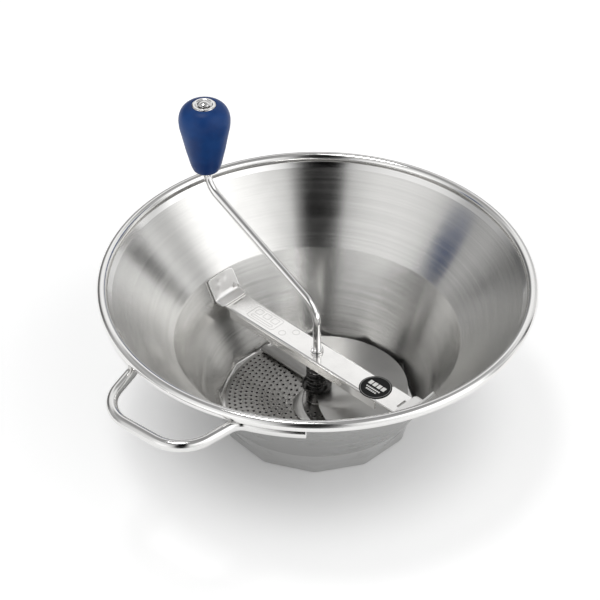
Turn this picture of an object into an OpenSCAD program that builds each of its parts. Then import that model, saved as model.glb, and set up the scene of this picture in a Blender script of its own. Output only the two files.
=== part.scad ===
// Rotary food mill: flared bowl with a 12-sided foot, loose sieve, helical
// pressing blade on a bent crank, and a sprung cross bar that hooks under
// two keepers on the bowl wall. Millimetres, +Z up, origin at the centre of
// the foot on the table. The loop handle points to the front left.

/* [Bowl] */
// Outer radius over the rolled rim
rim_r = 155; // [150:0.5:158]
// Height of the top of the rolled rim
rim_h = 122.7; // [120:0.1:126]
// Radius of the section of the rolled rim
bead_r = 3.9; // [3.2:0.1:4.2]
// Inner radius at the crease between the two cones
crease_r = 103.2; // [102:0.1:105]
// Height of the crease
crease_z = 68.6; // [67:0.1:70]
// Slope of the lower cone from horizontal
low_slope = 61.5; // [61:0.1:62]
// Slope of the upper cone from horizontal
up_slope = 47.6; // [47:0.1:48.2]
// Sheet thickness
sheet_t = 1.0; // [0.8:0.1:1.1]

/* [Foot] */
// Corner radius of the 12-sided foot at the table
foot_c = 72.2; // [71.5:0.1:73]
// Outward lean of the foot's sides
foot_lean = 9.5; // [8:0.5:10]
// Height of the top of the sieve seat
seat_z = 6.2; // [5.5:0.1:6.2]
// Radius of the outlet inside the seat
outlet_r = 61; // [58:0.5:63]

/* [Handle] */
// Direction in which the handle points
handle_az = -127.5; // [-140:0.5:-115]
// Wire radius
wire_r = 4; // [3:0.1:4]
// Distance of the grip's centre line from the bowl's axis
grip_x = 187.2; // [182:0.2:195]
// Half length of the straight stretch of the grip
grip_half = 13; // [8:0.5:16]
// Corner radius of the loop
loop_r = 27; // [24:0.5:30]
// How far each corner turns
loop_turn = 78; // [72:1:84]
// Bend radius where a leg turns along the rim
leg_bend = 12; // [10:0.5:16]
// Radius of the legs' run under the rim
leg_r = 148.9; // [148.7:0.1:149.2]
// Height of the wire's centre line
handle_z = 111.1; // [110.4:0.1:111.2]
// Angle at which a leg ends, from the handle's direction
leg_end = 35; // [34:1:45]

/* [Bar] */
// Direction of the bar's left end
bar_az = 136.4; // [130:0.2:142]
// Width of the bar
bar_w = 21; // [18:0.5:21]
// Height of the bar's top face
bar_top = 52.5; // [52.3:0.1:52.6]
// Depth of the bar's side flanges
bar_h = 8.5; // [6:0.5:8.5]
// Sheet thickness of the bar
bar_t = 1.5; // [1:0.1:1.5]
// Half length of the bar
bar_half = 91.5; // [90:0.1:91.5]
// Distance of the detent slots from the shaft
slot_x = 82; // [80:0.5:83]

/* [Sieve] */
// Radius of the sieve
sieve_r = 67.8; // [66:0.1:68]
// Thickness of the sieve
sieve_t = 0.8; // [0.6:0.1:0.8]
// Radius of a perforation
perf_r = 0.9; // [0.6:0.1:1.0]

/* [Blade] */
// Outer radius of the blade
blade_r = 67; // [64:0.5:67]
// Height of the plate's middle at the pressing edge
press_z = 7.85; // [7.8:0.05:8]
// Height of the crest at the raised front edge
crest_z = 36.2; // [30:0.1:36.2]
// Plate thickness
blade_t = 0.9; // [0.8:0.1:1.0]
// Azimuth of the raised front edge near the hub
front_az = -88; // [-95:1:-80]

/* [Crank] */
// Rod radius
rod_r = 3.0; // [3:0.01:3.02]
// Rest azimuth of the crank arm
crank_az = 133.5; // [125:0.5:140]
// Distance of the knob's axis from the shaft's axis
arm_r = 117.4; // [110:0.2:120]
// Height at which the arm's line meets the shaft's axis
arm_z0 = 90.9; // [88:0.1:95]
// Slope of the arm
arm_slope = 23; // [20:0.5:26]
// Bend radius of the rod
bend_r = 20; // [16:0.5:20]

/* [Knob] */
// Height of the knob's lower end
knob_z = 154; // [154:0.1:156]
// Length of the knob
knob_l = 55; // [52:0.5:56]

/* [Spring] */
// Mean radius of the coils
coil_r = 7; // [6:0.1:7.5]
// Radius of the spring wire
coil_w = 1; // [0.8:0.1:1.1]
// Number of coils
coil_n = 8; // [6:1:9]

/* [Hidden] */

bead_c = [rim_r - bead_r, rim_h - bead_r];
cl = cos(low_slope) / sin(low_slope);
cu = cos(up_slope) / sin(up_slope);
// inner wall radius at a height
function wall_in(z) = z < crease_z ? crease_r - (crease_z - z) * cl : crease_r + (z - crease_z) * cu;
wl = sheet_t / sin(low_slope);
wu = sheet_t / sin(up_slope);
// outer crease, on the mitre of the two outer faces
cz = (wl - wu) / (cl - cu);
crease_zo = crease_z + cz;
crease_ro = crease_r + wl + cz * cl;
wall_top = bead_c[1];
foot_top = 15;
apo = foot_c * cos(15);
foot_phase = -1.3;
seat_t = 1.0;

// 12-sided form with sides that lean outward, cut from a cylinder
module foot_form(inset, z0, z1) {
    difference() {
        translate([0, 0, z0]) cylinder(r = foot_c + 6 - inset, h = z1 - z0, $fn = 96);
        for (i = [0:11]) rotate([0, 0, foot_phase + 15 + i * 30])
            translate([apo - inset, 0, 0]) rotate([0, foot_lean, 0])
                translate([0, -40, -20]) cube([30, 80, 60]);
    }
}

module bowl() color([0.78, 0.78, 0.77]) {
    difference() {
        union() {
            rotate_extrude($fn = 180) polygon([[0, 0], [crease_ro - crease_zo * cl, 0],
                [crease_ro, crease_zo], [wall_in(wall_top - 2.2) + wu, wall_top - 2.2],
                [wall_in(wall_top - 1.2), wall_top - 1.2], [0, wall_top - 1.2]]);
            foot_form(0, 0, foot_top);
        }
        // inside of the two cones
        rotate_extrude($fn = 180) polygon([[0, seat_z], [wall_in(seat_z), seat_z],
            [crease_r, crease_z], [wall_in(wall_top + 4), wall_top + 4], [0, wall_top + 4]]);
        // inside of the foot above the seat
        foot_form(sheet_t, seat_z, foot_top + 1);
        // inside of the hem below the seat
        foot_form(2 * sheet_t, -1, seat_z - seat_t);
        // outlet
        translate([0, 0, -1]) cylinder(r = outlet_r, h = 10, $fn = 120);
    }
    // rolled rim, an open curl
    rotate_extrude($fn = 180) translate(bead_c) difference() {
        circle(r = bead_r, $fn = 40);
        circle(r = bead_r - sheet_t, $fn = 40);
        polygon([[0, 0], [-1, -6], [-3.4, -6]]);
    }
}

// ---- loop handle: arcs and straights in one plane ----
hx = [grip_x - loop_r, grip_half];
he = hx + loop_r * [cos(loop_turn), sin(loop_turn)];
hd = [-sin(loop_turn), cos(loop_turn)];
hn = [cos(loop_turn), sin(loop_turn)];
hq = he + leg_bend * hn;
hb = hq * hd;
hl = -hb - sqrt(hb * hb - (hq * hq - pow(leg_r + leg_bend, 2)));
leg_c = hq + hl * hd;
leg_a = atan2(leg_c[1], leg_c[0]);
leg_turn = loop_turn - leg_a;

// [x, y, heading] along an arc
function arc_path(c, r, a0, a1, n) = [for (i = [0:n]) let (a = a0 + (a1 - a0) * i / n)
    [c[0] + r * cos(a), c[1] + r * sin(a), a1 > a0 ? a + 90 : a - 90]];
half_path = concat(arc_path(hx, loop_r, 0, loop_turn, 10),
    arc_path(leg_c, leg_bend, 180 + loop_turn, 180 + leg_a, 8),
    [for (q = arc_path([0, 0], leg_r, leg_a, leg_end, 7)) if (q != undef) q]);
half_n = len(half_path);
loop_path = concat([for (i = [half_n - 1:-1:0]) [half_path[i][0], -half_path[i][1], 180 - half_path[i][2]]], half_path);
// round wire swept along a path that lies in the XY plane
module wire(path, w, m) {
    n = len(path);
    polyhedron([for (q = path) for (j = [0:m - 1]) let (b = j * 360 / m)
            [q[0] - w * cos(b) * sin(q[2]), q[1] + w * cos(b) * cos(q[2]), w * sin(b)]],
        concat([[for (j = [0:m - 1]) j]],
            [for (i = [0:n - 2]) for (j = [0:m - 1]) let (k = (j + 1) % m) [i * m + j, (i + 1) * m + j, (i + 1) * m + k, i * m + k]],
            [[for (j = [0:m - 1]) n * m - 1 - j]]), convexity = 10);
}
module loop_handle() color([0.82, 0.82, 0.82])
    translate([0, 0, handle_z]) rotate([0, 0, handle_az]) wire(loop_path, wire_r, 20);

// weld fillets between the legs and the rim and wall
module handle_welds() color([0.6, 0.6, 0.6])
    for (s = [-1, 1]) for (a = [24, 31]) rotate([0, 0, handle_az + s * a])
        rotate_extrude(angle = 3, $fn = 96) translate([leg_r - 2.6, handle_z + 3.1]) circle(r = 1.5, $fn = 20);

// ---- keepers ----
led_z = bar_top + 0.3;
led_t = 1.4;
keep_w = 25;
keep_x0 = sqrt(pow(wall_in(led_z), 2) - pow(keep_w / 2, 2)) - 0.05;
keep_x1 = keep_x0 + (68.4 - led_z) * cl - 0.15;
ear_y = bar_w / 2 + 0.4;
module keeper() {
    translate([0, keep_w / 2, 0]) rotate([90, 0, 0]) linear_extrude(keep_w)
        polygon([[84.5, led_z], [keep_x0 - 0.3, led_z], [keep_x1, 68.4],
                 [keep_x1 - 1.6, 68.4], [keep_x0 - 1.6, led_z + led_t], [84.5, led_z + led_t]]);
    // ear that stops the bar on the side the crank drags it to
    translate([85.3, -ear_y - 1.4, led_z - 3.6]) cube([7.2, 1.4, 3.8]);
}
module bar_keeper_left() color([0.86, 0.85, 0.84]) rotate([0, 0, bar_az]) keeper();
module bar_keeper_right() color([0.86, 0.85, 0.84]) rotate([0, 0, bar_az + 180]) keeper();

module keeper_rivets() color([0.7, 0.7, 0.7])
    for (a = [0, 180]) rotate([0, 0, bar_az + a])
        translate([keep_x0 + 2.6 * cl - 1.2, -8.6, 57]) rotate([0, 90 - (90 - low_slope), 0]) {
            translate([0, 0, -1.4]) cylinder(r = 1.9, h = 1.2, $fn = 24);
            translate([0, 0, -0.4]) cylinder(r = 1.1, h = 3.4, $fn = 24);
        }

// ---- sieve ----
sieve_top = seat_z + sieve_t;
eye_r = 5.5;
module sieve_disc() color([0.66, 0.65, 0.63])
    translate([0, 0, seat_z]) linear_extrude(sieve_t) difference() {
        circle(r = sieve_r, $fn = 120);
        circle(r = eye_r, $fn = 48);
        // staggered rings, wider apart near the centre
        for (k = [0:12]) let (r = 16.8 + 4 * k, n = round(2 * PI * r / (k < 5 ? 5.6 : 4.3)))
            for (i = [0:n - 1]) rotate((i + (k % 2) / 2) * 360 / n + 7 * k)
                translate([r, 0]) circle(r = perf_r, $fn = 16);
    }

module sieve_eyelet() color([0.75, 0.74, 0.72]) difference() {
    union() {
        translate([0, 0, 4.2]) cylinder(r = eye_r, h = sieve_top - 4.2, $fn = 48);
        translate([0, 0, sieve_top]) cylinder(r = 7.5, h = 0.7, $fn = 48);
    }
    translate([0, 0, 3]) cylinder(r = rod_r + 0.06, h = 8, $fn = 48);
}

// ---- spring and its seats ----
cup_z = 19.3;
wash_z = bar_top - bar_t - 1.3;
module upper_spring_washer() color([0.6, 0.6, 0.6]) translate([0, 0, wash_z]) difference() {
    cylinder(r = 9, h = 1, $fn = 48);
    translate([0, 0, -1]) cylinder(r = rod_r + 0.4, h = 3, $fn = 48);
}
module lower_spring_cup() color([0.5, 0.5, 0.5]) difference() {
    translate([0, 0, cup_z]) cylinder(r = 11, h = 3, $fn = 60);
    translate([0, 0, cup_z + 1]) cylinder(r = 10, h = 3, $fn = 60);
    translate([0, 0, cup_z - 1]) cylinder(r = rod_r + 0.4, h = 5, $fn = 48);
}

s0 = cup_z + 1.1 + coil_w;
s1 = wash_z - 0.1 - coil_w;
// height along the coil, with a flat closed turn at each end
function coil_z(a) = let (n = a / 360, q = coil_n - 2)
    n < 1 ? s0 + 2 * coil_w * n : n > coil_n - 1 ? s1 - 2 * coil_w * (coil_n - n)
    : s0 + 2 * coil_w + (s1 - s0 - 4 * coil_w) * (n - 1) / q;
coil_step = 15;
coil_m = coil_n * 360 / coil_step;
module pressure_spring() color([0.2, 0.2, 0.2]) {
    pts = [for (i = [0:coil_m]) for (j = [0:7]) let (a = i * coil_step, b = j * 45)
        [(coil_r + coil_w * cos(b)) * cos(a), (coil_r + coil_w * cos(b)) * sin(a), coil_z(a) + coil_w * 0.96 * sin(b)]];
    polyhedron(pts, concat(
        [[for (j = [0:7]) j]],
        [for (i = [0:coil_m - 1]) for (j = [0:7]) let (k = (j + 1) % 8) [i * 8 + j, (i + 1) * 8 + j, (i + 1) * 8 + k, i * 8 + k]],
        [[for (j = [0:7]) coil_m * 8 + 7 - j]]), convexity = 10);
}

// ---- cross bar ----
bar_bot = bar_top - bar_h;
module cross_bar() color([0.92, 0.91, 0.9]) rotate([0, 0, bar_az]) difference() {
    union() {
        // top plate
        translate([0, 0, bar_top - bar_t]) linear_extrude(bar_t) hull() {
            for (x = [-1, 1], y = [-1, 1]) translate([x * (bar_half - 3), y * (bar_w / 2 - 3)]) circle(r = 3, $fn = 24);
        }
        // side flanges, cut short at the right end
        for (y = [-bar_w / 2, bar_w / 2 - bar_t]) translate([-66, y, bar_bot]) cube([146, bar_t, bar_h - 0.5]);
    }
    // rolled long edges
    for (s = [-1, 1]) translate([-95, s * bar_w / 2, bar_top]) rotate([45, 0, 0]) translate([0, -0.55, -0.55]) cube([190, 1.1, 1.1]);
    cylinder(r = 4.5, h = 80, $fn = 48);
    for (x = [-slot_x, slot_x]) translate([x - 0.9, -4.4, 40]) cube([1.8, 8.8, 20]);
}
module bar_bush() color([0.8, 0.79, 0.78]) difference() {
    union() {
        translate([0, 0, bar_top - bar_t]) cylinder(r = 4.5, h = bar_t, $fn = 48);
        translate([0, 0, bar_top]) cylinder(r = 5, h = 0.8, $fn = 48);
    }
    translate([0, 0, 45]) cylinder(r = rod_r + 0.06, h = 12, $fn = 48);
}
module bar_badge() color([0.05, 0.05, 0.05]) rotate([0, 0, bar_az])
    translate([-57.4, 0, bar_top]) cylinder(r = 11.9, h = 0.5, $fn = 72);

// ---- crank ----
turn = 90 - arm_slope;
tan_l = bend_r * tan(turn / 2);
arm_z1 = arm_z0 + arm_r * tan(arm_slope);
arm_l = arm_r / cos(arm_slope) - 2 * tan_l;
rod_tip = 2.5;
rod_top = knob_z + knob_l + 1;
// the arm's two bends and slope, as a path in the plane of distance and height
arm_path = concat([[0, arm_z0 - tan_l - 3, 90]],
    arc_path([bend_r, arm_z0 - tan_l], bend_r, 180, 180 - turn, 12),
    arc_path([arm_r - bend_r, arm_z1 + tan_l], bend_r, -turn, 0, 12),
    [[arm_r, arm_z1 + tan_l + 3, 90]]);
module crank_rod() color([0.85, 0.85, 0.85]) difference() {
    rotate([0, 0, crank_az]) {
        translate([0, 0, rod_tip]) cylinder(r = rod_r, h = arm_z0 - tan_l - rod_tip, $fn = 48);
        rotate([90, 0, 0]) wire(arm_path, rod_r - 0.01, 24);
        translate([arm_r, 0, arm_z1 + tan_l]) cylinder(r = rod_r, h = rod_top - arm_z1 - tan_l, $fn = 48);
    }
    rotate([0, 0, 40]) translate([-8, 0, pin_z]) rotate([0, 90, 0]) cylinder(r = 1.25, h = 16, $fn = 24);
}
pin_z = 11.5;
module shaft_stop_ring() color([0.8, 0.8, 0.8]) translate([0, 0, bar_top + 1.3]) rotate_extrude($fn = 48)
    polygon([[rod_r, 0], [4.6, 0], [4.6, 1.1], [3.6, 2.4], [rod_r, 2.4]]);

hub_z = 8.0;
module blade_hub() color([0.45, 0.45, 0.45]) difference() {
    translate([0, 0, hub_z]) cylinder(r = 8, h = 11, $fn = 48);
    translate([0, 0, hub_z - 1]) cylinder(r = rod_r, h = 13, $fn = 48);
    rotate([0, 0, 40]) translate([-9, 0, pin_z]) rotate([0, 90, 0]) cylinder(r = 1.25, h = 18, $fn = 24);
}
module hub_pin() color([0.7, 0.7, 0.7]) rotate([0, 0, 40]) translate([-7.4, 0, pin_z]) rotate([0, 90, 0])
    cylinder(r = 1.25, h = 14.8, $fn = 24);

// ---- thick sheet from a grid of points g[i][j] ----
function unit(v) = v / max(norm(v), 1e-9);
function sheet_n(g, i, j) = let (m = len(g) - 1, n = len(g[0]) - 1)
    unit(cross(g[min(i + 1, m)][j] - g[max(i - 1, 0)][j], g[i][min(j + 1, n)] - g[i][max(j - 1, 0)]));
module sheet(g, t) {
    m = len(g); n = len(g[0]);
    top = [for (i = [0:m - 1]) for (j = [0:n - 1]) g[i][j] + sheet_n(g, i, j) * t / 2];
    bot = [for (i = [0:m - 1]) for (j = [0:n - 1]) g[i][j] - sheet_n(g, i, j) * t / 2];
    o = m * n;
    polyhedron(concat(top, bot), concat(
        [for (i = [0:m - 2]) for (j = [0:n - 2]) each [[i * n + j, i * n + j + 1, (i + 1) * n + j], [i * n + j + 1, (i + 1) * n + j + 1, (i + 1) * n + j]]],
        [for (i = [0:m - 2]) for (j = [0:n - 2]) each [[o + i * n + j, o + (i + 1) * n + j, o + i * n + j + 1], [o + i * n + j + 1, o + (i + 1) * n + j, o + (i + 1) * n + j + 1]]],
        [for (i = [0:m - 2]) each [[i * n, (i + 1) * n, o + i * n], [(i + 1) * n, o + (i + 1) * n, o + i * n]]],
        [for (i = [0:m - 2]) each [[i * n + n - 1, o + i * n + n - 1, (i + 1) * n + n - 1], [(i + 1) * n + n - 1, o + i * n + n - 1, o + (i + 1) * n + n - 1]]],
        [for (j = [0:n - 2]) each [[j, o + j, j + 1], [j + 1, o + j, o + j + 1]]],
        [for (j = [0:n - 2]) let (k = (m - 1) * n) each [[k + j, k + j + 1, o + k + j], [k + j + 1, o + k + j + 1, o + k + j]]]),
        convexity = 10);
}

// ---- blade: pressing edge tangent to the hub, raised front edge ----
press_az = 135.7;
edge_off = 7.8;
crest_r = 42;
function sm(x) = let (c = min(1, max(0, x))) c * c * (3 - 2 * c);
function rise(u) = pow(u, 1.6);
// plate height over radius r and sweep share u
function plate_z(r, u) = let (
    zh = press_z + (17 - press_z) * sm(u / 0.35),
    zc = press_z + (crest_z - press_z) * rise(u),
    ze = press_z + (crest_z - 4.5 - press_z) * rise(u))
    r < crest_r ? zh + (zc - zh) * sm((r - 8) / (crest_r - 8)) : zc + (ze - zc) * (r - crest_r) / (blade_r - crest_r);
function front_a(r) = front_az + (r > crest_r ? 10 * (r - crest_r) / (blade_r - crest_r) : 0);
function plate_p(r, u) = let (a0 = press_az - asin(min(1, edge_off / r)), a = a0 + (front_a(r) - a0) * u)
    [r * cos(a), r * sin(a), plate_z(r, u)];
// hem strip along the pressing edge: points across the fold at distance s along the edge
hem = [[4.6, 3.1], [1.2, 3.3], [0.1, 2.7], [-0.35, 1.6], [0, 0.5]];
function hem_p(r, k) = let (s = sqrt(max(0, r * r - edge_off * edge_off)), off = edge_off + hem[k][0],
    ex = cos(press_az), ey = sin(press_az))
    [s * ex + off * ey, s * ey - off * ex, press_z + hem[k][1]];
blade_rs = [for (i = [0:18]) 7.9 + (blade_r - 7.9) * i / 18];
blade_us = [for (j = [0:36]) 0.012 + 0.988 * j / 36];
module blade() color([0.8, 0.8, 0.79])
    sheet([for (r = blade_rs) concat([for (k = [0:4]) hem_p(r, k)], [for (u = blade_us) plate_p(r, u)])], blade_t);

// curved strip from the hub that sweeps the sieve ahead of the blade
module sweeper_strip() color([0.7, 0.7, 0.7])
    sheet([for (i = [0:16]) let (v = i / 16, a = -172 + 84 * v, rb = 17 + 17 * pow(v, 1.3), zt = 17.6 - 8.2 * v,
            rt = 8.3 + (rb - 8.3) * v)
        [for (j = [0:4]) let (w = j / 4, r = rb + (rt - rb) * w, z = 7.8 + (zt - 7.8) * w + 1.2 * sin(180 * w) * (1 - v))
            [r * cos(a), r * sin(a), z]]], 0.8);

// ---- knob ----
kx = arm_r;
module at_knob() rotate([0, 0, crank_az]) translate([kx, 0, knob_z]) children();
module knob_stop_ring() color([0.7, 0.7, 0.7]) at_knob() translate([0, 0, 0.4]) difference() {
    cylinder(r = 5.4, h = 2, $fn = 40);
    translate([0, 0, -1]) cylinder(r = rod_r, h = 4, $fn = 32);
}
module rod_end_rivet() color([0.75, 0.75, 0.75]) at_knob() translate([0, 0, knob_l + 1]) intersection() {
    translate([0, 0, -5.2]) sphere(r = 7.2, $fn = 64);
    cylinder(r = 5, h = 3, $fn = 48);
}
knob_pts = [[8.4, 0], [9.6, 0.5], [10.3, 2], [11.5, 5.5], [12.9, 11.5], [14.4, 17.7], [15.8, 24.7],
            [17.2, 31.7], [18.3, 37], [18.7, 42], [18.5, 44.8], [17.8, 47.6], [16.4, 50.4], [14, 52.9], [11.2, 54.4], [9.2, 55]];
module knob_grip() color([0.1, 0.22, 0.47]) at_knob() difference() {
    scale(knob_l / 55) rotate_extrude($fn = 72) polygon(concat([[0, 0]], knob_pts, [[0, 55]]));
    translate([0, 0, -1]) cylinder(r = 4.5, h = knob_l + 3, $fn = 48);
    translate([0, 0, -1]) cylinder(r = 6.2, h = 3.8, $fn = 48);
    translate([0, 0, knob_l - 1]) cylinder(r = 8.7, h = 3, $fn = 48);
}
module knob_sleeve() color([0.7, 0.7, 0.7]) at_knob() translate([0, 0, 2.8]) difference() {
    cylinder(r = 4.5, h = knob_l - 4, $fn = 48);
    translate([0, 0, -1]) cylinder(r = rod_r + 0.06, h = knob_l, $fn = 48);
}
module knob_end_ring() color([0.85, 0.85, 0.85]) at_knob() translate([0, 0, knob_l - 1]) rotate_extrude($fn = 60)
    polygon([[4, 0], [8.6, 0], [8.6, 1], [7.8, 1.6], [6.6, 1.6], [5.6, 1.1], [4, 1.1]]);

bowl();
loop_handle();
handle_welds();
bar_keeper_left();
bar_keeper_right();
keeper_rivets();
sieve_disc();
sieve_eyelet();
upper_spring_washer();
pressure_spring();
cross_bar();
bar_bush();
bar_badge();
lower_spring_cup();
crank_rod();
shaft_stop_ring();
blade();
sweeper_strip();
blade_hub();
hub_pin();
knob_stop_ring();
rod_end_rivet();
knob_grip();
knob_sleeve();
knob_end_ring();
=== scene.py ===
"""Looks of the rotary food mill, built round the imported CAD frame. Lengths below are in millimetres unless said."""
import math

import bmesh
import bpy
import numpy as np
from mathutils import Matrix, Vector
from mathutils.geometry import delaunay_2d_cdt


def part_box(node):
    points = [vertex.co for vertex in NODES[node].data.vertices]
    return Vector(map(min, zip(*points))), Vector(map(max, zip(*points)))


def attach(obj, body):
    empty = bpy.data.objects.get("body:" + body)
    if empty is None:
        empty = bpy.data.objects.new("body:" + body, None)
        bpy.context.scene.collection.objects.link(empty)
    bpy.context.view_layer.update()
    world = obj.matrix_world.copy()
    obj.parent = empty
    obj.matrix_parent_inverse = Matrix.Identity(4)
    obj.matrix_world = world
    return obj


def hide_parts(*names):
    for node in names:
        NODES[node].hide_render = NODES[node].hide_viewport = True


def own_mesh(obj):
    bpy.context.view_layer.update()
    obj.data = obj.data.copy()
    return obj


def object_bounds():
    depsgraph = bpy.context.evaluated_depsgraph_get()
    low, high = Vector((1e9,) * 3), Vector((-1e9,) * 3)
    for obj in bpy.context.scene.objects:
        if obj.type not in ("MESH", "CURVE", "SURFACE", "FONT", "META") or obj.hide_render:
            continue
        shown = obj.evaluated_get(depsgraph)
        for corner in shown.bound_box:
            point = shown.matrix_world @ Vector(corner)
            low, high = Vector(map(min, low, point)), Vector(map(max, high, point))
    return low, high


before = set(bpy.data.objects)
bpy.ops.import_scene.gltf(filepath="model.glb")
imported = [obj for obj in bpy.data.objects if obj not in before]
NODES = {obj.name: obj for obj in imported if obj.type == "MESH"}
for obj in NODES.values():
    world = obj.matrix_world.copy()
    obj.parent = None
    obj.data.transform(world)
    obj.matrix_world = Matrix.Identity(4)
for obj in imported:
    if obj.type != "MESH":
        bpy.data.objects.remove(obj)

CAD_BOX = [list(v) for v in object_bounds()]
MM = 0.001


def mm(node):
    """A CAD node's box in millimetres."""
    lo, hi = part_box(node)
    return np.array(lo) * 1000, np.array(hi) * 1000


# ---------------------------------------------------------------- sizes that part.scad also holds
BOWL_LO, BOWL_HI = mm("bowl")
RIM_R = BOWL_HI[0]
RIM_H = BOWL_HI[2]
BEAD = 3.9
BC = (RIM_R - BEAD, RIM_H - BEAD)
CREASE_R, CREASE_Z = 103.2, 68.6
LOW, UP = math.radians(61.5), math.radians(47.6)
CL, CU = 1 / math.tan(LOW), 1 / math.tan(UP)
SHEET = 1.0
WL, WU = SHEET / math.sin(LOW), SHEET / math.sin(UP)
CZ = (WL - WU) / (CL - CU)
CREASE_ZO, CREASE_RO = CREASE_Z + CZ, CREASE_R + WL + CZ * CL
FOOT_C, LEAN, FOOT_PHASE = 72.2, math.radians(9.5), -1.3
APO = FOOT_C * math.cos(math.radians(15))
SEAT_Z, SEAT_T, OUTLET_R = 6.2, 1.0, 61.0
BAR_AZ, CRANK_AZ, HANDLE_AZ = 136.4, 133.5, -127.5
BAR_TOP = mm("cross_bar")[1][2]
ROD_R = 3.0


# ---------------------------------------------------------------- mesh tools
def rot(pts, deg):
    """Points turned about Z."""
    a = math.radians(deg)
    c, s = math.cos(a), math.sin(a)
    p = np.asarray(pts, float)
    return np.stack([p[:, 0] * c - p[:, 1] * s, p[:, 0] * s + p[:, 1] * c, p[:, 2]], 1)


def piece(name, verts, faces, body, mats, replaces=(), doubles=0.0, recalc=True, slots=None, sharp=None, bevel=None, weighted=True):
    me = bpy.data.meshes.new(name)
    me.from_pydata((np.asarray(verts, float) * MM).tolist(), [], [list(f) for f in faces])
    for m in mats:
        me.materials.append(m)
    if slots is not None:
        me.polygons.foreach_set("material_index", np.asarray(slots, np.int32))
    if doubles or recalc:
        bm = bmesh.new()
        bm.from_mesh(me)
        if doubles:
            bmesh.ops.remove_doubles(bm, verts=bm.verts, dist=doubles * MM)
        if recalc:
            bmesh.ops.recalc_face_normals(bm, faces=bm.faces)
        bm.to_mesh(me)
        bm.free()
    me.polygons.foreach_set("use_smooth", [True] * len(me.polygons))
    if sharp:
        me.set_sharp_from_angle(angle=math.radians(sharp))
    me.update()
    ob = bpy.data.objects.new(name, me)
    bpy.context.scene.collection.objects.link(ob)
    if bevel:
        b = ob.modifiers.new("edges", "BEVEL")
        b.width, b.segments, b.limit_method, b.angle_limit = bevel[0] * MM, bevel[1], "ANGLE", math.radians(bevel[2] if len(bevel) > 2 else 40)
        b.use_clamp_overlap = True
    if weighted:
        w = ob.modifiers.new("shade", "WEIGHTED_NORMAL")
        w.keep_sharp = True
        w.weight = 50
    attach(ob, body)
    if replaces:
        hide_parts(*replaces)
    return ob


def grid_faces(m, n, close_m=False, close_n=False, start=0):
    """Quads of an m by n grid of points."""
    out = []
    for i in range(m if close_m else m - 1):
        a, b = start + i * n, start + ((i + 1) % m) * n
        for j in range(n if close_n else n - 1):
            k = (j + 1) % n
            out.append((a + j, b + j, b + k, a + k))
    return out


def fillet(pts, r=0.2, seg=4, closed=True):
    """A 2-D outline with its corners rounded. A point may carry its own radius."""
    out, n = [], len(pts)
    for i, p in enumerate(pts):
        b = np.array(p[:2], float)
        rr = p[2] if len(p) > 2 else r
        if rr <= 0 or (not closed and i in (0, n - 1)):
            out.append(b)
            continue
        u, v = np.array(pts[i - 1][:2], float) - b, np.array(pts[(i + 1) % n][:2], float) - b
        lu, lv = np.linalg.norm(u), np.linalg.norm(v)
        u, v = u / lu, v / lv
        ang = math.acos(max(-1, min(1, float(u @ v))))
        if ang > math.pi - 0.02:
            out.append(b)
            continue
        t = min(rr / math.tan(ang / 2), 0.48 * lu, 0.48 * lv)
        re = t * math.tan(ang / 2)
        w = (u + v) / np.linalg.norm(u + v)
        c = b + w * re / math.sin(ang / 2)
        p0, p1 = b + u * t - c, b + v * t - c
        a0, a1 = math.atan2(p0[1], p0[0]), math.atan2(p1[1], p1[0])
        d = (a1 - a0 + math.pi) % (2 * math.pi) - math.pi
        for k in range(seg + 1):
            a = a0 + d * k / seg
            out.append(c + re * np.array([math.cos(a), math.sin(a)]))
    return [tuple(q) for q in out]


def lathe(profile, n=96, centre=(0, 0), z0=0.0):
    """A closed outline of (radius, height), turned about Z."""
    prof = np.array(profile, float)
    a = np.arange(n) * 2 * math.pi / n
    r, z = prof[:, 0], prof[:, 1] + z0
    v = np.stack([centre[0] + np.outer(np.cos(a), r), centre[1] + np.outer(np.sin(a), r), np.broadcast_to(z, (n, len(z)))], 2)
    return v.reshape(-1, 3), grid_faces(n, len(prof), True, True)


def tube(path, rad, m=32, cap=0.5, up=(0, 0, 1)):
    """A round tube along points, with rounded ends."""
    p = np.asarray(path, float)
    t = np.gradient(p, axis=0)
    t /= np.linalg.norm(t, axis=1)[:, None]
    ref = np.array(up, float)
    if abs(ref @ t[0]) > 0.95:
        ref = np.array((1, 0, 0), float)
    nrm = ref - (ref @ t[0]) * t[0]
    nrm /= np.linalg.norm(nrm)
    rings, a = [], np.arange(m) * 2 * math.pi / m
    radii = np.broadcast_to(rad, (len(p),)).astype(float)
    stations = []
    ends = [0, 25, 50, 75, 90]
    for e in reversed(ends):
        b = math.radians(e)
        stations.append((p[0] + t[0] * cap * (1 - math.sin(b)), t[0], radii[0] - cap * (1 - math.cos(b))))
    stations += [(p[i], t[i], radii[i]) for i in range(1, len(p) - 1) if np.linalg.norm(p[i] - p[0]) > cap and np.linalg.norm(p[i] - p[-1]) > cap]
    for e in ends:
        b = math.radians(e)
        stations.append((p[-1] - t[-1] * cap * (1 - math.sin(b)), t[-1], radii[-1] - cap * (1 - math.cos(b))))
    for c, tt, r in stations:
        nrm = nrm - (nrm @ tt) * tt
        nrm /= np.linalg.norm(nrm)
        side = np.cross(tt, nrm)
        rings.append(c + r * (np.outer(np.cos(a), nrm) + np.outer(np.sin(a), side)))
    v = np.concatenate(rings)
    f = grid_faces(len(rings), m, False, True)
    f.append(tuple(range(m))[::-1])
    f.append(tuple((len(rings) - 1) * m + j for j in range(m)))
    return v, f


def arc(c, r, a0, a1, n):
    """Points of an arc in a plane, in degrees."""
    a = np.radians(np.linspace(a0, a1, n))
    return np.stack([c[0] + r * np.cos(a), c[1] + r * np.sin(a)], 1)


def smooth(x):
    c = np.clip(x, 0, 1)
    return c * c * (3 - 2 * c)


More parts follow.
